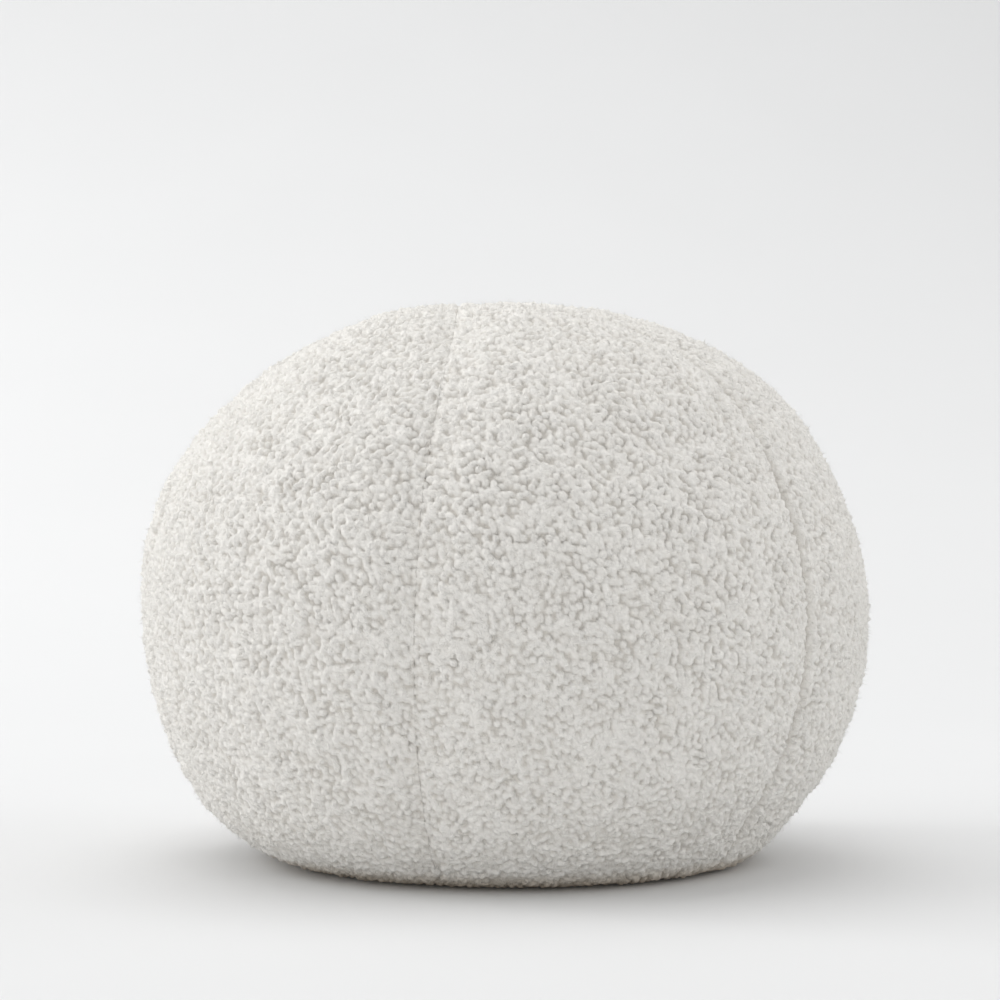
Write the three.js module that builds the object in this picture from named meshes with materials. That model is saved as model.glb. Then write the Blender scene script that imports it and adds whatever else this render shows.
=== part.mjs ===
import * as THREE from 'three';

// A ball pillow of curled-pile cloth: six pointed panels sewn edge to edge around one soft filling.
// It sags under its own weight, so it is lower than it is wide, and its underside is flat on the floor.
// Millimetres, +Z up, the front towards -Y. The origin is on the floor, under the middle.

// Driving dimensions.
const WIDTH = 304;
const HEIGHT = 231;
const SEAM_DEPTH = 4.2;
const SEAM_HALF_WIDTH = 6;
const PANEL_CROWN = 2;
const POLE_DIMPLE = 2;

// The floor presses the seams and hollows flat, and they reach their full depth at this height.
const FREE_HEIGHT = 26;

// The dimple where the seams meet fades out over the first radius. Over the top the seams' channels and the
// panels' crowns grow shallower towards it, from the second radius inwards.
const POLE_RADIUS = 12;
const TOP_SEAM_RADIUS = 90;

// The stuffing has pulled the cloth to the left over the top, most at the point where the seams meet. The
// pull fades out over this radius, and it is felt only above this share of the way up.
const TOP_PULL = -16;
const TOP_PULL_RADIUS = 75;
const TOP_PULL_START = 0.55;

// The upright section from the middle of the underside to the middle of the top. Heights are shares of
// HEIGHT, and reaches to the left and right are shares of half the WIDTH.
const SECTION = [
  { height: 0, left: 0, right: 0 },
  { height: 0, left: 0.298, right: 0.298 },
  { height: 0, left: 0.571, right: 0.636 },
  { height: 0.028, left: 0.695, right: 0.717 },
  { height: 0.092, left: 0.834, right: 0.805 },
  { height: 0.16, left: 0.892, right: 0.884 },
  { height: 0.24, left: 0.946, right: 0.944 },
  { height: 0.325, left: 0.98, right: 0.981 },
  { height: 0.41, left: 1, right: 1 },
  { height: 0.5, left: 1.005, right: 0.994 },
  { height: 0.59, left: 0.989, right: 0.963 },
  { height: 0.67, left: 0.947, right: 0.916 },
  { height: 0.745, left: 0.878, right: 0.862 },
  { height: 0.81, left: 0.792, right: 0.793 },
  { height: 0.87, left: 0.695, right: 0.702 },
  { height: 0.92, left: 0.581, right: 0.582 },
  { height: 0.962, left: 0.442, right: 0.434 },
  { height: 0.99, left: 0.278, right: 0.275 },
  { height: 1, left: 0, right: 0 },
];

// The six seams, in degrees from the front towards the right. Each strays from its straight meridian: the
// lean adds up from the underside to the top, and the bow is greatest half way.
const SEAMS = [
  { azimuth: -74, lean: -1.5, bow: 0.5 },
  { azimuth: -12.6, lean: 6, bow: 0 },
  { azimuth: 55, lean: -0.5, bow: -2.7 },
  { azimuth: 109, lean: 1, bow: 0.6 },
  { azimuth: 168, lean: -1.2, bow: -0.5 },
  { azimuth: 228, lean: 0.8, bow: 0.7 },
];

// Soft hollows in the stuffed cloth, each a long oval. The turn is from upright, clockwise from outside.
const HOLLOWS = [
  { azimuth: -52, height: 54, length: 30, width: 10, turn: -18, depth: 4 },
  { azimuth: -26, height: 202, length: 12, width: 18, turn: 0, depth: 3.5 },
  { azimuth: 24, height: 170, length: 44, width: 10, turn: 90, depth: 1.6 },
  { azimuth: 140, height: 150, length: 34, width: 14, turn: 60, depth: 2.2 },
  { azimuth: 205, height: 66, length: 32, width: 11, turn: 20, depth: 2.4 },
];

// Steps of the mesh: rows from the underside to the top, and columns across half a panel, crowded at its
// seam. The curve's own steps only set how evenly the rows are spaced.
const ROWS = 46;
const HALF_PANEL_COLUMNS = 7;
const SEAM_CROWDING = 1.7;
const CURVE_STEPS = 1200;

const degrees = THREE.MathUtils.degToRad;

// Each point of this curve holds the reach to the left, the reach to the right and the height.
const sectionCurve = new THREE.CatmullRomCurve3(
  SECTION.map((row) => new THREE.Vector3(
    (row.left * WIDTH) / 2,
    (row.right * WIDTH) / 2,
    row.height * HEIGHT,
  )),
);
sectionCurve.arcLengthDivisions = CURVE_STEPS;

function seamAzimuth(seam, rise) {
  const { azimuth, lean, bow } = SEAMS[seam];
  return azimuth + lean * (rise - 0.5) + bow * Math.sin(Math.PI * rise);
}

// A point of the smooth ball before its seams are drawn in. The azimuth is in degrees from the front
// towards the right, and the rise is from 0, under the pillow, to 1, at its top.
function smoothPoint(azimuth, rise) {
  const reach = sectionCurve.getPointAt(THREE.MathUtils.clamp(rise, 0, 1));
  const angle = degrees(azimuth);
  const rightShare = (1 + Math.sin(angle)) / 2;
  const radius = THREE.MathUtils.lerp(reach.x, reach.y, rightShare);
  return new THREE.Vector3(radius * Math.sin(angle), -radius * Math.cos(angle), Math.max(reach.z, 0));
}

// The direction out of the smooth ball, from small steps up it and around it.
function outwardNormal(azimuth, rise) {
  const up = 0.004;
  const turn = 1;
  const inside = THREE.MathUtils.clamp(rise, 2 * up, 1 - 2 * up);
  const along = smoothPoint(azimuth, inside + up).sub(smoothPoint(azimuth, inside - up));
  const around = smoothPoint(azimuth + turn, inside).sub(smoothPoint(azimuth - turn, inside));
  return around.cross(along).normalize();
}

// How far the cloth lies inside the smooth ball at a hollow.
function hollowDepth(point, azimuth) {
  let depth = 0;
  for (const hollow of HOLLOWS) {
    const turnAway = THREE.MathUtils.euclideanModulo(azimuth - hollow.azimuth + 180, 360) - 180;
    const sideways = degrees(turnAway) * Math.hypot(point.x, point.y);
    const upwards = point.z - hollow.height;
    const turn = degrees(hollow.turn);
    const along = upwards * Math.cos(turn) + sideways * Math.sin(turn);
    const across = sideways * Math.cos(turn) - upwards * Math.sin(turn);
    depth += hollow.depth * Math.exp(-((along / hollow.length) ** 2) - (across / hollow.width) ** 2);
  }
  return depth;
}

// A point of the sewn pillow: seams drawn in, panels swelling between them and a dimple where they meet.
function pillowPoint(seam, across, rise) {
  const start = seamAzimuth(seam, rise);
  const end = seam + 1 < SEAMS.length ? seamAzimuth(seam + 1, rise) : seamAzimuth(0, rise) + 360;
  const azimuth = THREE.MathUtils.lerp(start, end, across);
  const point = smoothPoint(azimuth, rise);
  const radius = Math.hypot(point.x, point.y);
  const toSeam = Math.min(across, 1 - across) * degrees(end - start) * radius;
  const seamShare = rise > 0.5 ? THREE.MathUtils.smoothstep(radius, POLE_RADIUS, TOP_SEAM_RADIUS) : 1;
  const channel = SEAM_DEPTH * Math.exp(-toSeam / SEAM_HALF_WIDTH);
  const sag = PANEL_CROWN * (1 - Math.sin(Math.PI * across));
  const polar = Math.exp(-((radius / POLE_RADIUS) ** 2));
  const sewn = THREE.MathUtils.lerp(seamShare * (channel + sag), POLE_DIMPLE, polar);
  const drawnIn = sewn + hollowDepth(point, azimuth);
  const free = THREE.MathUtils.smoothstep(point.z, 0, FREE_HEIGHT);
  const outward = outwardNormal(azimuth, rise);
  point.addScaledVector(outward, -drawnIn * free);
  if (rise > TOP_PULL_START) {
    const pull = TOP_PULL * Math.exp(-((radius / TOP_PULL_RADIUS) ** 2));
    point.x += pull;
    point.z -= (pull * outward.x) / outward.z;
  }
  point.z = Math.max(point.z, 0);
  return point;
}

// Where the columns stand across a panel, from 0 at its first seam up to the next one.
function panelColumns() {
  const columns = [];
  for (let i = 0; i < 2 * HALF_PANEL_COLUMNS; i += 1) {
    const fromSeam = Math.min(i, 2 * HALF_PANEL_COLUMNS - i) / HALF_PANEL_COLUMNS;
    const share = 0.5 * fromSeam ** SEAM_CROWDING;
    columns.push(i <= HALF_PANEL_COLUMNS ? share : 1 - share);
  }
  return columns;
}

function pillowGeometry() {
  const columns = panelColumns();
  const around = SEAMS.length * columns.length;
  const points = [pillowPoint(0, 0, 0)];
  for (let row = 1; row < ROWS; row += 1) {
    for (let seam = 0; seam < SEAMS.length; seam += 1) {
      for (const across of columns) {
        points.push(pillowPoint(seam, across, row / ROWS));
      }
    }
  }
  points.push(pillowPoint(0, 0, 1));

  const top = points.length - 1;
  const at = (row, column) => 1 + (row - 1) * around + (column % around);
  const faces = [];
  for (let column = 0; column < around; column += 1) {
    faces.push(0, at(1, column + 1), at(1, column));
    for (let row = 1; row < ROWS - 1; row += 1) {
      faces.push(at(row, column), at(row, column + 1), at(row + 1, column + 1));
      faces.push(at(row, column), at(row + 1, column + 1), at(row + 1, column));
    }
    faces.push(at(ROWS - 1, column), at(ROWS - 1, column + 1), top);
  }

  const geometry = new THREE.BufferGeometry().setFromPoints(points);
  geometry.setIndex(faces);
  geometry.computeVertexNormals();
  return geometry;
}

const pileCloth = new THREE.MeshStandardMaterial({
  name: 'pile_cloth',
  color: 0xe6e2d9,
  roughness: 0.95,
  metalness: 0,
});

const pillow = new THREE.Mesh(pillowGeometry(), pileCloth);
pillow.name = 'ball_pillow';

const part = new THREE.Group();
part.add(pillow);

export default part;
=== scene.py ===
"""A ball pillow of ivory faux shearling: six sewn panels of short curled pile around one soft filling.

Everything is in metres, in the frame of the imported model: +Z up, the front towards -Y.
"""

import math

import bpy
import numpy as np
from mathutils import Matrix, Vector
from mathutils.bvhtree import BVHTree
from mathutils.kdtree import KDTree


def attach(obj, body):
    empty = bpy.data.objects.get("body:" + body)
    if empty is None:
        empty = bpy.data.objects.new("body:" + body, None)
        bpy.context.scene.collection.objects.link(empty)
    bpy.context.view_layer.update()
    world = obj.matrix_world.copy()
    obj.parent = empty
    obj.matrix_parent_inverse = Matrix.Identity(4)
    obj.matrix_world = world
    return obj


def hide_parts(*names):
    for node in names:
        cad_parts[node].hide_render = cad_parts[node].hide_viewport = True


MM = 0.001
NODE = "ball_pillow"
SEED = 41

# The sewing, as on the solid that this replaces: six seams, in degrees from the front towards the right.
# Each strays from its straight meridian by a lean, from the foot to the top, and by a bow in the middle.
# The tightness says how far its stitches draw the cloth in and part the pile.
SEAMS = [
    {"azimuth": -74.0, "lean": -1.5, "bow": 0.5, "tightness": 0.6},
    {"azimuth": -12.6, "lean": 6.0, "bow": 0.0, "tightness": 0.2},
    {"azimuth": 55.0, "lean": -0.5, "bow": -2.7, "tightness": 1.0},
    {"azimuth": 109.0, "lean": 1.0, "bow": 0.6, "tightness": 0.7},
    {"azimuth": 168.0, "lean": -1.2, "bow": -0.5, "tightness": 0.55},
    {"azimuth": 228.0, "lean": 0.8, "bow": 0.7, "tightness": 0.7},
]
CENTRE_HEIGHT = 112 * MM

# Over the top the cloth is pulled to the left, most where the seams meet and only above the last height.
# Working out where a point was before the pull takes a few rounds.
TOP_PULL = -16 * MM
TOP_PULL_RADIUS = 75 * MM
TOP_PULL_HEIGHT = 135 * MM
UNPULL_ROUNDS = 3

# The filled cover under the pile, which a short cloth simulation blows up from a slightly smaller form. It
# lies at this depth inside the solid's face, and at this share of the depth where the floor presses it.
COVER_DEPTH = 0.7 * MM
PRESSED_SHARE = 0.5
SWELL_ROOM = 1.5 * MM
WELD_DISTANCE = 0.01 * MM
VOXEL = 5 * MM
PRESSURE = 4.0
SIM_FRAMES = 20
MOST_SWELL = 5 * MM
PINNED_NEAR_SEAM = 5 * MM
PINNED_NEAR_FLOOR = 6 * MM

# The cover's surface is read off on a coarse grid for each panel, crowded at its two seams.
GRID_ROWS = 64
GRID_COLUMNS = 26
SEAM_CROWDING = 1.5

# Each panel is a closed shell: a fine sheet that carries the curls, and a coarse sheet inside it. Both are
# coarser on the foot, and neither lies nearer to the floor than the gap.
PILE_STEP = 0.76 * MM
INNER_STEP = 6 * MM
SHELL_THICKNESS = 2.5 * MM
FOOT_RADIUS = 74 * MM
FOOT_COARSENESS = 3
FLOOR_GAP = 0.3 * MM

# The seams are narrow valleys. Their folded allowance lies to the right and lifts the cloth beside them.
# The floor presses all of it flat, which fades out up to the last height.
SEAM_DEPTH = 1.6 * MM
SEAM_HALF_WIDTH = 2.0 * MM
ALLOWANCE_LIFT = 0.8 * MM
ALLOWANCE_PLACE = 3.6 * MM
ALLOWANCE_HALF_WIDTH = 2.2 * MM
FREE_HEIGHT = 26 * MM

# The pile is parted along a seam in a row of pits, a stitch or two apart. Each is open by its own share.
PIT_HALF_WIDTH = 1.4 * MM
PIT_SPACING = 4.5 * MM
PIT_OPENING = (0.3, 1.15)
PIT_COUNT = 60

# The curls lie flatter towards the floor. This is the share of their height that they have down there, and
# they have all of it above the second value.
FLAT_CURLS = 0.7
FULL_CURL_HEIGHT = 45 * MM

# The curls are low rounded nubs that run into each other. Their profile is a paraboloid at a fullness of 1
# and a half ball at 0.5.
CURL_SPACING = 2.3 * MM
CURL_RADIUS = (1.3 * MM, 2.0 * MM)
CURL_STRETCH = (1.0, 1.6)
CURL_HEIGHT = (1.1 * MM, 2.2 * MM)
CURL_FULLNESS = 0.75

# They grow in clumps. Each clump has its own height and lies its own way, from which its curls stray.
CLUMP_SPACING = 6.5 * MM
CLUMP_HEIGHT = (0.75, 1.25)
CURL_STRAY = 0.6

# Colours of the wool.
WOOL = (0.865, 0.845, 0.805)
WOOL_LIGHT = (0.895, 0.877, 0.84)
WOOL_DARK = (0.835, 0.81, 0.765)
# The root colour is painted shade: it darkens the ground between the curls, where shade falls in the
# hollows.
WOOL_ROOT_SHADE = (0.70, 0.67, 0.62)

# Painted contact shade round its foot: the wool turns a darker, warmer brown up to about this height.
WOOL_FOOT_SHADE = (0.50, 0.41, 0.30)
FOOT_SHADE_HEIGHT = 8 * MM

# A curl's tone is drawn round 0, and these two are the darkest and the lightest that show. Painted shade
# darkens the ground between the curls below this share of a tall curl's height. The noise of the broad
# mottling mostly lies within its range. The strands of the curls are a fine bump.
TONES = (-2, 2)
ROOT_SHADE_SHARE = 0.5
NOISE_RANGE = (0.3, 0.7)
MOTTLE_SCALE = 38
STRAND_SCALE = 450
STRAND_DISTORTION = 1.5
STRAND_BUMP = 0.8
STRAND_DEPTH = 1.6 * MM
WOOL_SURFACE = {
    "Roughness": 0.92,
    "Specular IOR Level": 0.2,
    "Sheen Weight": 0.2,
    "Sheen Roughness": 0.45,
}

# Loose fibres that stand out of the curls and soften the outline.
FIBRES = 24000
FIBRE_LENGTH = (1.8 * MM, 3.2 * MM)
FIBRE_RADIUS = 0.11 * MM
FIBRE_ROOT_DEPTH = 0.4 * MM
FIBRE_CORNERS = 4
FIBRE_STRAY = 0.55
LOWEST_FIBRE = 4 * MM


def unit(vectors):
    """The same vectors at length 1."""
    return vectors / np.maximum(np.linalg.norm(vectors, axis=-1, keepdims=True), 1e-12)


def seam_azimuth(seam, polar):
    """The azimuth of a seam at a polar angle, which runs from -90 degrees under the pillow to 90 on top."""
    rise = (np.asarray(polar) + 90) / 180
    line = SEAMS[seam % len(SEAMS)]
    turns = seam // len(SEAMS) * 360
    strayed = line["lean"] * (rise - 0.5) + line["bow"] * np.sin(np.pi * rise)
    return line["azimuth"] + turns + strayed


def top_pull(points):
    """How far to the right the cloth is drawn over the top. The points are places before the pull."""
    across = np.hypot(points[..., 0], points[..., 1])
    high = points[..., 2] > TOP_PULL_HEIGHT
    return np.where(high, TOP_PULL * np.exp(-((across / TOP_PULL_RADIUS) ** 2)), 0)


def unpulled(points):
    """The points moved back to where they would be without the pull over the top."""
    free = points.copy()
    for _ in range(UNPULL_ROUNDS):
        free[..., 0] = points[..., 0] - top_pull(free)
    return free


def turned(points):
    """Distance from the axis, polar angle and azimuth of each point, in metres and degrees."""
    across = np.maximum(np.hypot(points[..., 0], points[..., 1]), 1e-6)
    polar = np.degrees(np.arctan2(points[..., 2] - CENTRE_HEIGHT, across))
    azimuth = np.degrees(np.arctan2(points[..., 0], -points[..., 1]))
    return across, polar, azimuth


def seam_distance(points):
    """How far each point is from the nearest seam, along the cloth."""
    across, polar, azimuth = turned(unpulled(points))
    nearest = np.full(len(points), 180.0)
    for seam in range(len(SEAMS)):
        turn = (azimuth - seam_azimuth(seam, polar) + 180) % 360 - 180
        nearest = np.minimum(nearest, np.abs(turn))
    return np.radians(nearest) * across


def mesh_points(mesh):
    points = np.zeros(len(mesh.vertices) * 3)
    mesh.vertices.foreach_get("co", points)
    return points.reshape(-1, 3)


def mesh_normals(mesh):
    normals = np.zeros(len(mesh.vertices) * 3)
    mesh.vertices.foreach_get("normal", normals)
    return normals.reshape(-1, 3)


def shown_mesh(obj):
    """A new mesh of an object with its modifiers applied."""
    graph = bpy.context.evaluated_depsgraph_get()
    return bpy.data.meshes.new_from_object(obj.evaluated_get(graph))


def remeshed_form(node):
    """The solid's outer form, taken in under the pile and remeshed evenly."""
    form = bpy.data.objects.new("form", node.data.copy())
    bpy.context.scene.collection.objects.link(form)
    weld = form.modifiers.new("weld", "WELD")
    weld.merge_threshold = WELD_DISTANCE
    remesh = form.modifiers.new("remesh", "REMESH")
    remesh.mode = "VOXEL"
    remesh.voxel_size = VOXEL
    mesh = shown_mesh(form)
    form.modifiers.clear()
    form.data = mesh
    points = mesh_points(mesh)
    free = np.clip(points[:, 2:] / FREE_HEIGHT, 0, 1)
    share = PRESSED_SHARE + (1 - PRESSED_SHARE) * free
    points -= (COVER_DEPTH + SWELL_ROOM) * share * mesh_normals(mesh)
    mesh.vertices.foreach_set("co", points.ravel())
    mesh.update()
    return form


def pinned(form, points):
    """A vertex group that holds the form's seams and foot in place."""
    near_seam = np.clip(1 - seam_distance(points) / PINNED_NEAR_SEAM, 0, 1)
    near_floor = np.clip(1 - points[:, 2] / PINNED_NEAR_FLOOR, 0, 1)
    weights = np.maximum(near_seam, near_floor)
    pins = form.vertex_groups.new(name="pins")
    for index in np.nonzero(weights > 0)[0]:
        pins.add([int(index)], float(weights[index]), "REPLACE")
    return pins


def blow_up(form):
    """Fills the form like a stuffed cover: it swells between its seams, and its seams and foot stay put."""
    start = mesh_points(form.data)
    pins = pinned(form, start)
    cloth = form.modifiers.new("cloth", "CLOTH")
    cloth.settings.vertex_group_mass = pins.name
    cloth.settings.use_pressure = True
    cloth.settings.uniform_pressure_force = PRESSURE
    cloth.settings.effector_weights.gravity = 0
    cloth.point_cache.frame_start = 1
    cloth.point_cache.frame_end = SIM_FRAMES
    scene = bpy.context.scene
    for frame_number in range(1, SIM_FRAMES + 1):
        scene.frame_set(frame_number)
    swollen = shown_mesh(form)
    end = mesh_points(swollen)
    scene.frame_set(1)
    form.modifiers.clear()
    moved = end - start
    far = np.linalg.norm(moved, axis=1, keepdims=True)
    moved *= np.minimum(1, MOST_SWELL / np.maximum(far, 1e-9))
    bpy.data.meshes.remove(swollen)
    print("swell in mm: mean %.2f, most %.2f" % (far.mean() / MM, far.max() / MM))
    return start + moved


def filled_cover(node):
    """A search tree of the stuffed cover's surface under the pile."""
    form = remeshed_form(node)
    points = mesh_points(form.data)
    points = blow_up(form)
    points[:, 2] = np.maximum(points[:, 2], FLOOR_GAP)
    faces = [tuple(face.vertices) for face in form.data.polygons]
    tree = BVHTree.FromPolygons([Vector(point) for point in points], faces)
    mesh = form.data
    bpy.data.objects.remove(form)
    bpy.data.meshes.remove(mesh)
    return tree


def grid_shares():
    """Where the grid's columns stand across a panel, from 0 to 1."""
    even = np.linspace(-1, 1, GRID_COLUMNS + 1)
    return 0.5 + 0.5 * np.sign(even) * (1 - (1 - np.abs(even)) ** SEAM_CROWDING)


def panel_grid(tree, panel):
    """The cover's points on a panel's coarse grid, row by row from the foot, and the outward directions."""
    shares = grid_shares()
    centre = Vector((0, 0, CENTRE_HEIGHT))
    points = np.zeros((GRID_ROWS + 1, GRID_COLUMNS + 1, 3))
    for row in range(GRID_ROWS + 1):
        polar = -90 + 180 * row / GRID_ROWS
        start, end = seam_azimuth(panel, polar), seam_azimuth(panel + 1, polar)
        flat, up = math.cos(math.radians(polar)), math.sin(math.radians(polar))
        for column, share in enumerate(shares):
            azimuth = math.radians(start + (end - start) * share)
            towards = Vector((flat * math.sin(azimuth), -flat * math.cos(azimuth), up))
            free = tree.ray_cast(centre, towards)[0]
            drawn = free + Vector((float(top_pull(np.array(free))), 0, 0))
            points[row, column] = tree.ray_cast(centre, drawn - centre)[0]
    return points, grid_normals(points)


def grid_normals(points):
    """The outward direction at each point of a panel's grid."""
    along = np.gradient(points, axis=0)
    around = np.gradient(points, axis=1)
    around[0] = around[1]
    around[-1] = around[-2]
    normals = unit(np.cross(around, along))
    normals[0] = (0, 0, -1)
    normals[-1] = (0, 0, 1)
    return normals


def cubic_taps(places, last):
    """The four grid indices around each place and their weights, for a smooth curve through the grid."""
    first = np.clip(np.floor(places).astype(int), 0, last - 1)
    t = places - first
    weights = [
        -0.5 * t + t**2 - 0.5 * t**3,
        1 - 2.5 * t**2 + 1.5 * t**3,
        0.5 * t + 2 * t**2 - 1.5 * t**3,
        -0.5 * t**2 + 0.5 * t**3,
    ]
    return [(np.clip(first + step, 0, last), weight) for step, weight in zip((-1, 0, 1, 2), weights)]


def on_grid(grid, rows, shares):
    """The grid's values at any rows and at any shares of the way across the panel."""
    columns = np.interp(shares, grid_shares(), np.arange(GRID_COLUMNS + 1))
    values = 0
    for row, row_weight in cubic_taps(rows, GRID_ROWS):
        for column, column_weight in cubic_taps(columns, GRID_COLUMNS):
            values = values + grid[row, column] * (row_weight * column_weight)[:, None]
    return values


def row_places(grid, step):
    """Rows at even steps up a panel's middle, with longer steps on the foot that nobody sees."""
    middle = grid[:, GRID_COLUMNS // 2]
    climbed = np.concatenate([[0], np.cumsum(np.linalg.norm(np.diff(middle, axis=0), axis=1))])
    foot = np.arange(0, FOOT_RADIUS, step * FOOT_COARSENESS)
    free = np.linspace(FOOT_RADIUS, climbed[-1], int((climbed[-1] - FOOT_RADIUS) / step))
    return np.interp(np.concatenate([foot, free]), climbed, np.arange(GRID_ROWS + 1))


def on_foot(point):
    """Whether a point is on the part of the underside that nobody sees."""
    return point[2] < CENTRE_HEIGHT and np.hypot(*point[:2]) < FOOT_RADIUS


def zipped(first, first_at, second, second_at):
    """Triangles of a strip between two lines of points that run the same way, the second on the left."""
    first_middles = (first_at[:-1] + first_at[1:]) / 2
    second_middles = (second_at[:-1] + second_at[1:]) / 2
    facing = np.searchsorted(second_middles, first_middles)
    faces = [np.stack([first[:-1], first[1:], second[facing]], axis=1)]
    behind = np.searchsorted(facing, np.arange(len(second_middles)), side="right")
    faces.append(np.stack([first[behind], second[1:], second[:-1]], axis=1))
    return np.concatenate(faces)


def sheet(grid, normals, places, step):
    """An evenly meshed sheet over a panel, with each point's direction and its distance from both seams."""
    rows, shares, widths, lines = [], [], [], []
    count = 0
    for index, place in enumerate(places):
        across = on_grid(grid, np.full(GRID_COLUMNS + 1, place), grid_shares())
        width = np.linalg.norm(np.diff(across, axis=0), axis=1).sum()
        at_pole = index in (0, len(places) - 1)
        longer = FOOT_COARSENESS if on_foot(across[0]) else 1
        steps = max(1, round(width / (step * longer)))
        share = np.array([0.5]) if at_pole else np.linspace(0, 1, steps + 1)
        rows.append(np.full(len(share), place))
        shares.append(share)
        widths.append(np.full(len(share), 0.0 if at_pole else width))
        lines.append(count + np.arange(len(share)))
        count += len(share)
    faces = [zipped(lines[i], shares[i], lines[i + 1], shares[i + 1]) for i in range(len(lines) - 1)]
    rows, shares, widths = np.concatenate(rows), np.concatenate(shares), np.concatenate(widths)
    return {
        "points": on_grid(grid, rows, shares),
        "out": unit(on_grid(normals, rows, shares)),
        "past_left": shares * widths,
        "past_right": (1 - shares) * widths,
        "faces": np.concatenate(faces),
        "left": np.array([line[0] for line in lines]),
        "right": np.array([line[-1] for line in lines]),
        "places": places,
    }


def pit_openings(random):
    """For each seam, how far the pits along it are open, by height."""
    return [random.uniform(*PIT_OPENING, PIT_COUNT) for _ in SEAMS]


def press_seams(outer, panel, pits):
    """Draws the seams in along both edges of a panel's sheet, and lifts the cloth over their allowance."""
    height = outer["points"][:, 2]
    free = np.clip(height / FREE_HEIGHT, 0, 1)
    full = FLAT_CURLS + (1 - FLAT_CURLS) * np.clip(height / FULL_CURL_HEIGHT, 0, 1)
    past_allowance = (outer["past_left"] - ALLOWANCE_PLACE) / ALLOWANCE_HALF_WIDTH
    raised = ALLOWANCE_LIFT * np.exp(-(past_allowance**2))
    parted = np.zeros(len(raised))
    for seam, distance in ((panel, outer["past_left"]), (panel + 1, outer["past_right"])):
        tightness = SEAMS[seam % len(SEAMS)]["tightness"]
        opening = np.interp(height / PIT_SPACING, np.arange(PIT_COUNT), pits[seam % len(SEAMS)])
        raised -= SEAM_DEPTH * tightness * opening * np.exp(-((distance / SEAM_HALF_WIDTH) ** 2))
        parted += tightness * opening * np.exp(-((distance / PIT_HALF_WIDTH) ** 2))
    outer["pile"] = full * (1 - np.minimum(parted, 1))
    outer["points"] += outer["out"] * (raised * free)[:, None]


def spaced(points, order, spacing):
    """The points that stay when each next one must be a spacing away from all before it."""
    cells = np.floor(points / spacing).astype(int)
    near = [(i, j, k) for i in (-1, 0, 1) for j in (-1, 0, 1) for k in (-1, 0, 1)]
    taken = {}
    kept = []
    places = points.tolist()
    keys = [tuple(cell) for cell in cells.tolist()]
    for index in order.tolist():
        x, y, z = places[index]
        a, b, c = keys[index]
        free = True
        for i, j, k in near:
            for u, v, w in taken.get((a + i, b + j, c + k), ()):
                if (x - u) ** 2 + (y - v) ** 2 + (z - w) ** 2 < spacing**2:
                    free = False
                    break
            if not free:
                break
        if free:
            taken.setdefault((a, b, c), []).append((x, y, z))
            kept.append(index)
    return np.array(kept)


def search_tree(points):
    tree = KDTree(len(points))
    for index, point in enumerate(points):
        tree.insert(point, index)
    tree.balance()
    return tree


def curl_relief(random, points, out):
    """How far the curls lift each point, and the tone of the curl that it lies on."""
    tree = search_tree(points)
    clumps = search_tree(points[spaced(points, random.permutation(len(points)), CLUMP_SPACING)])
    clump_height = random.uniform(*CLUMP_HEIGHT, len(points))
    clump_way = random.normal(0, 1, (len(points), 3))
    lift = np.zeros(len(points))
    tone = np.zeros(len(points))
    for index in spaced(points, random.permutation(len(points)), CURL_SPACING):
        clump = clumps.find(points[index])[1]
        radius = random.uniform(*CURL_RADIUS)
        length = radius * random.uniform(*CURL_STRETCH)
        found = np.array([item[1] for item in tree.find_range(points[index], length)])
        along = unit(np.cross(out[index], clump_way[clump] + random.normal(0, CURL_STRAY, 3)))
        across = np.cross(out[index], along)
        away = points[found] - points[index]
        share = (away @ along / length) ** 2 + (away @ across / radius) ** 2
        height = np.maximum(1 - share, 0) ** CURL_FULLNESS
        height *= random.uniform(*CURL_HEIGHT) * clump_height[clump]
        higher = height > lift[found]
        lift[found[higher]] = height[higher]
        tone[found[higher]] = random.normal()
    return lift, tone


def fibre_points(random, base, out):
    """Points of thin needles: three at the root and one at the tip."""
    count = len(base)
    length = random.uniform(*FIBRE_LENGTH, (count, 1))
    lean = unit(out + random.normal(0, FIBRE_STRAY, (count, 3)))
    side = unit(np.cross(lean, random.normal(0, 1, (count, 3))))
    other = np.cross(lean, side)
    root = base - out * FIBRE_ROOT_DEPTH
    points = []
    for corner in range(3):
        angle = 2 * math.pi * corner / 3
        points.append(root + FIBRE_RADIUS * (side * math.cos(angle) + other * math.sin(angle)))
    points.append(root + lean * length)
    return np.stack(points, axis=1)


def fibre_mesh(random, base, out, tone):
    """The points, triangles and tones of all the fibres of a panel."""
    points = fibre_points(random, base, out)
    needle = np.array([(0, 2, 1), (0, 1, 3), (1, 2, 3), (2, 0, 3)])
    faces = needle[None] + np.arange(len(points))[:, None, None] * FIBRE_CORNERS
    return {
        "points": points.reshape(-1, 3),
        "faces": faces.reshape(-1, 3),
        "tone": np.repeat(tone, FIBRE_CORNERS),
    }


def shell_faces(outer, inner):
    """Triangles of a closed shell: the outer sheet and the inner one, whose points come after it, and the
    two edges between them."""
    first = len(outer["points"])
    left = zipped(outer["left"], outer["places"], inner["left"] + first, inner["places"])
    right = zipped(inner["right"] + first, inner["places"], outer["right"], outer["places"])
    sheets = np.concatenate([outer["faces"], inner["faces"][:, ::-1] + first])
    return sheets, np.concatenate([left, right])


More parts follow.
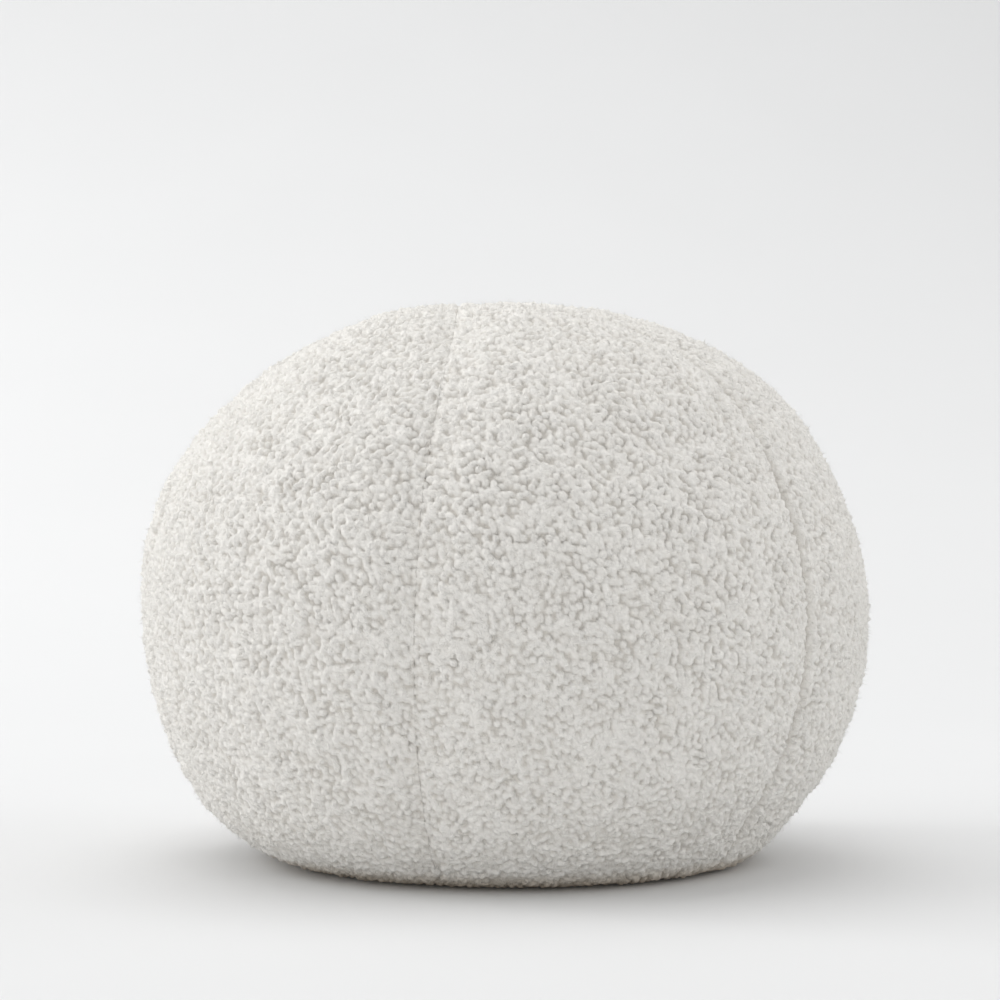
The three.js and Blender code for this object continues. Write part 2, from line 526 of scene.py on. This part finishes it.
def mesh_object(name, points, smooth_faces, flat_faces, attributes, material):
    faces = np.concatenate([smooth_faces, flat_faces])
    mesh = bpy.data.meshes.new(name)
    mesh.vertices.add(len(points))
    mesh.vertices.foreach_set("co", points.ravel())
    mesh.loops.add(faces.size)
    mesh.loops.foreach_set("vertex_index", faces.ravel().astype(np.int32))
    mesh.polygons.add(len(faces))
    mesh.polygons.foreach_set("loop_start", np.arange(0, faces.size, 3, dtype=np.int32))
    mesh.materials.append(material)
    mesh.update(calc_edges=True)
    mesh.polygons.foreach_set("use_smooth", np.arange(len(faces)) < len(smooth_faces))
    for key, values in attributes.items():
        layer = mesh.attributes.new(key, "FLOAT", "POINT")
        layer.data.foreach_set("value", values.astype(np.float32))
    obj = bpy.data.objects.new(name, mesh)
    bpy.context.scene.collection.objects.link(obj)
    return obj


def panel_sheets(tree, pits):
    """The fine outer sheet and the coarse inner sheet of each panel."""
    grids = [panel_grid(tree, panel) for panel in range(len(SEAMS))]
    fine_rows = row_places(grids[0][0], PILE_STEP)
    coarse_rows = row_places(grids[0][0], INNER_STEP)
    outers, inners = [], []
    for panel, (grid, normals) in enumerate(grids):
        outers.append(sheet(grid, normals, fine_rows, PILE_STEP))
        inners.append(sheet(grid - normals * SHELL_THICKNESS, normals, coarse_rows, INNER_STEP))
        press_seams(outers[-1], panel, pits)
    return outers, inners


def panel_piece(name, outer, inner, fibres, material):
    """Joins a panel's curled sheet, its inner sheet and its fibres into one piece."""
    sheets, edges = shell_faces(outer, inner)
    first_fibre = len(outer["points"]) + len(inner["points"])
    points = np.concatenate([outer["curled"], inner["points"], fibres["points"]])
    points[:, 2] = np.maximum(points[:, 2], FLOOR_GAP)
    smooth_faces = np.concatenate([sheets, fibres["faces"] + first_fibre])
    rest = np.zeros(len(inner["points"]))
    tips = np.ones(len(fibres["points"]))
    attributes = {
        "tone": np.concatenate([outer["tone"], rest, fibres["tone"]]),
        "lift": np.concatenate([outer["lift"] / CURL_HEIGHT[1], rest, tips]),
    }
    print(name, len(smooth_faces) + len(edges), "triangles")
    return mesh_object(name, points, smooth_faces, edges, attributes, material)


def pillow_panels(tree, pile):
    """Builds the six panels, each a closed shell of curled pile with its loose fibres."""
    random = np.random.default_rng(SEED)
    outers, inners = panel_sheets(tree, pit_openings(random))
    points = np.concatenate([outer["points"] for outer in outers])
    out = np.concatenate([outer["out"] for outer in outers])
    lift, tone = curl_relief(random, points, out)
    lift *= np.concatenate([outer["pile"] for outer in outers])
    points = points + out * lift[:, None]
    hairy = random.choice(np.nonzero(points[:, 2] > LOWEST_FIBRE)[0], FIBRES, replace=False)
    pieces = []
    begin = 0
    for panel, (outer, inner) in enumerate(zip(outers, inners)):
        end = begin + len(outer["points"])
        outer["curled"] = points[begin:end]
        outer["lift"] = lift[begin:end]
        outer["tone"] = tone[begin:end]
        here = hairy[(hairy >= begin) & (hairy < end)]
        fibres = fibre_mesh(random, points[here], out[here], tone[here])
        pieces.append(panel_piece("panel_%d" % (panel + 1), outer, inner, fibres, pile))
        begin = end
    return pieces


# The colour sockets of a Mix node share their names with its other sockets, so they go by number.
MIX_FIRST = 6
MIX_SECOND = 7
MIX_RESULT = 2


def new_material(name, surface):
    """A material with its nodes, links and shader. The surface holds plain numbers for the shader."""
    material = bpy.data.materials.new(name)
    material.use_nodes = True
    nodes, links = material.node_tree.nodes, material.node_tree.links
    shader = nodes["Principled BSDF"]
    for socket, value in surface.items():
        shader.inputs[socket].default_value = value
    return material, nodes, links, shader


def mix_colours(nodes, links, share, first, second):
    """A colour between two others. Each of them is a colour or a node's output."""
    mix = nodes.new("ShaderNodeMix")
    mix.data_type = "RGBA"
    links.new(share, mix.inputs["Factor"])
    for socket, colour in ((mix.inputs[MIX_FIRST], first), (mix.inputs[MIX_SECOND], second)):
        if isinstance(colour, tuple):
            socket.default_value = (*colour, 1)
        else:
            links.new(colour, socket)
    return mix.outputs[MIX_RESULT]


def ranged(nodes, links, value, low, high):
    """A value from low to high, brought to 0 to 1."""
    node = nodes.new("ShaderNodeMapRange")
    node.inputs["From Min"].default_value = low
    node.inputs["From Max"].default_value = high
    links.new(value, node.inputs["Value"])
    return node.outputs["Result"]


def height_above_floor(nodes, links):
    place = nodes.new("ShaderNodeTexCoord")
    parts = nodes.new("ShaderNodeSeparateXYZ")
    links.new(place.outputs["Object"], parts.inputs["Vector"])
    return parts.outputs["Z"]


def noise(nodes, links, scale, detail):
    place = nodes.new("ShaderNodeTexCoord")
    node = nodes.new("ShaderNodeTexNoise")
    node.inputs["Scale"].default_value = scale
    node.inputs["Detail"].default_value = detail
    links.new(place.outputs["Object"], node.inputs["Vector"])
    return node.outputs["Fac"]


def bumped(nodes, links, shader, height, strength, distance):
    node = nodes.new("ShaderNodeBump")
    node.inputs["Strength"].default_value = strength
    node.inputs["Distance"].default_value = distance
    links.new(height, node.inputs["Height"])
    links.new(node.outputs["Normal"], shader.inputs["Normal"])


def pile_material():
    """Matt ivory wool: each curl has its own tone, with painted shade between the curls and round the foot.
    """
    material, nodes, links, shader = new_material("shearling_pile", WOOL_SURFACE)
    tone = nodes.new("ShaderNodeAttribute")
    tone.attribute_name = "tone"
    lift = nodes.new("ShaderNodeAttribute")
    lift.attribute_name = "lift"
    lightness = ranged(nodes, links, tone.outputs["Fac"], *TONES)
    own = mix_colours(nodes, links, lightness, WOOL_DARK, WOOL_LIGHT)
    patch = ranged(nodes, links, noise(nodes, links, MOTTLE_SCALE, detail=3), *NOISE_RANGE)
    varied = mix_colours(nodes, links, patch, own, WOOL)
    # Painted shade: towards its root, the ground between the curls turns to the root colour.
    out_of_root_shade = ranged(nodes, links, lift.outputs["Fac"], 0, ROOT_SHADE_SHARE)
    free = mix_colours(nodes, links, out_of_root_shade, WOOL_ROOT_SHADE, varied)
    # Painted contact shade: near the floor the wool turns to the darker, warmer foot colour.
    out_of_foot_shade = ranged(nodes, links, height_above_floor(nodes, links), 0, FOOT_SHADE_HEIGHT)
    colour = mix_colours(nodes, links, out_of_foot_shade, WOOL_FOOT_SHADE, free)
    links.new(colour, shader.inputs["Base Color"])
    strands = noise(nodes, links, STRAND_SCALE, detail=4)
    strands.node.inputs["Distortion"].default_value = STRAND_DISTORTION
    bumped(nodes, links, shader, strands, STRAND_BUMP, STRAND_DEPTH)
    return material


# The stage: a plain pale sweep of floor that rises behind the pillow, with a hardly visible broad grain.
STAGE_COLOUR = (0.757, 0.76, 0.762)
STAGE_GRAIN_SHADE = 0.99
STAGE_GRAIN_SCALE = 3
STAGE_SURFACE = {"Roughness": 0.8, "Specular IOR Level": 0.1}
STAGE_HALF_WIDTH = 5.0
STAGE_FRONT = -3.5
STAGE_BACK = 0.7
STAGE_CURVE = 3.6
STAGE_TOP = 4.5
STAGE_STEPS = 24


def stage_material():
    """A matt pale floor. The second colour of its grain is hardly darker than the first."""
    material, nodes, links, shader = new_material("pale_floor", STAGE_SURFACE)
    grain = ranged(nodes, links, noise(nodes, links, STAGE_GRAIN_SCALE, detail=2), *NOISE_RANGE)
    shade = tuple(STAGE_GRAIN_SHADE * share for share in STAGE_COLOUR)
    colour = mix_colours(nodes, links, grain, STAGE_COLOUR, shade)
    links.new(colour, shader.inputs["Base Color"])
    return material


def stage():
    """The floor and the curve in which it rises behind the pillow."""
    profile = [(STAGE_FRONT, 0.0), (STAGE_BACK, 0.0)]
    for step in range(1, STAGE_STEPS + 1):
        angle = math.pi / 2 * step / STAGE_STEPS
        profile.append((STAGE_BACK + STAGE_CURVE * math.sin(angle), STAGE_CURVE * (1 - math.cos(angle))))
    profile.append((STAGE_BACK + STAGE_CURVE, STAGE_TOP))
    points = [(side * STAGE_HALF_WIDTH, y, z) for y, z in profile for side in (-1, 1)]
    faces = [(2 * i, 2 * i + 1, 2 * i + 3, 2 * i + 2) for i in range(len(profile) - 1)]
    mesh = bpy.data.meshes.new("floor")
    mesh.from_pydata(points, [], faces)
    mesh.shade_smooth()
    mesh.materials.append(stage_material())
    floor = bpy.data.objects.new("floor", mesh)
    bpy.context.scene.collection.objects.link(floor)


# Soft boxes: where each stands, its width and height, and its power in watts. The first four face the
# pillow, and the two last light the sweep behind it.
SOFT_BOXES = [
    {"name": "top_box", "place": (-0.3, 0.3, 3.2), "size": (2.8, 2.8), "power": 37},
    {"name": "left_box", "place": (-3.0, -0.2, 1.6), "size": (2.6, 2.6), "power": 33},
    {"name": "right_box", "place": (3.0, 0.3, 1.2), "size": (2.2, 2.2), "power": 26},
    {"name": "front_card", "place": (-0.5, -2.8, 0.35), "size": (2.6, 0.5), "power": 10},
    {
        "name": "sweep_box",
        "place": (0, 0.9, 3.4),
        "facing": (0, 3.6, 1.2),
        "size": (2.4, 2.4),
        "power": 9,
    },
    {
        "name": "sweep_left_box",
        "place": (-3.2, 1.0, 1.4),
        "facing": (0.6, 4.2, 1.4),
        "size": (1.6, 1.6),
        "power": 37,
    },
]
PILLOW_MIDDLE = (0, 0, CENTRE_HEIGHT)

# An even white light from all around fills the shadows.
ROOM_COLOUR = (1, 1, 1, 1)
ROOM_LIGHT = 0.59


def lights():
    for box in SOFT_BOXES:
        data = bpy.data.lights.new(box["name"], "AREA")
        data.shape = "RECTANGLE"
        data.size, data.size_y = box["size"]
        data.energy = box["power"]
        lamp = bpy.data.objects.new(box["name"], data)
        lamp.location = box["place"]
        towards = Vector(box.get("facing", PILLOW_MIDDLE)) - Vector(box["place"])
        lamp.rotation_euler = towards.to_track_quat("-Z", "Y").to_euler()
        bpy.context.scene.collection.objects.link(lamp)
    world = bpy.data.worlds.new("studio")
    world.use_nodes = True
    background = world.node_tree.nodes["Background"]
    background.inputs["Color"].default_value = ROOM_COLOUR
    background.inputs["Strength"].default_value = ROOM_LIGHT
    bpy.context.scene.world = world


# The camera stands a little above the pillow's middle, straight in front of it. The elevation is in degrees,
# the sensor and the lens are in millimetres, and the rest is in metres or, for the shifts, in image widths.
CAMERA_DISTANCE = 0.945
CAMERA_ELEVATION = 1.0
CAMERA_TARGET = (0, 0, 0.114)
SENSOR = 36.0
FOCAL_LENGTH = 80.9
SHIFT_RIGHT = -0.0047
SHIFT_UP = 0.0852
NEAREST_SEEN = 0.01


def camera():
    data = bpy.data.cameras.new("camera")
    data.sensor_width = SENSOR
    data.lens = FOCAL_LENGTH
    data.shift_x = SHIFT_RIGHT
    data.shift_y = SHIFT_UP
    data.clip_start = NEAREST_SEEN
    eye = bpy.data.objects.new("camera", data)
    angle = math.radians(CAMERA_ELEVATION)
    back = Vector((0, -math.cos(angle), math.sin(angle)))
    eye.location = Vector(CAMERA_TARGET) + CAMERA_DISTANCE * back
    eye.rotation_euler = (-back).to_track_quat("-Z", "Y").to_euler()
    bpy.context.scene.collection.objects.link(eye)
    bpy.context.scene.camera = eye


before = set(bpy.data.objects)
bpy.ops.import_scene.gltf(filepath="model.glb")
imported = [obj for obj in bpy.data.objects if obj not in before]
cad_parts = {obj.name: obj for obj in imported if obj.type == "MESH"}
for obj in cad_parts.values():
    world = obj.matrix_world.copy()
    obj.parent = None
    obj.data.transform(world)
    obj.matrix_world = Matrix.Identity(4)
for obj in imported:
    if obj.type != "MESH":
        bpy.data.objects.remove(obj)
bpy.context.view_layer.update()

camera()
lights()
stage()

cover = filled_cover(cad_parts[NODE])
for panel in pillow_panels(cover, pile_material()):
    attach(panel, "root")
    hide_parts(NODE)

bpy.context.scene.view_settings.view_transform = "Standard"
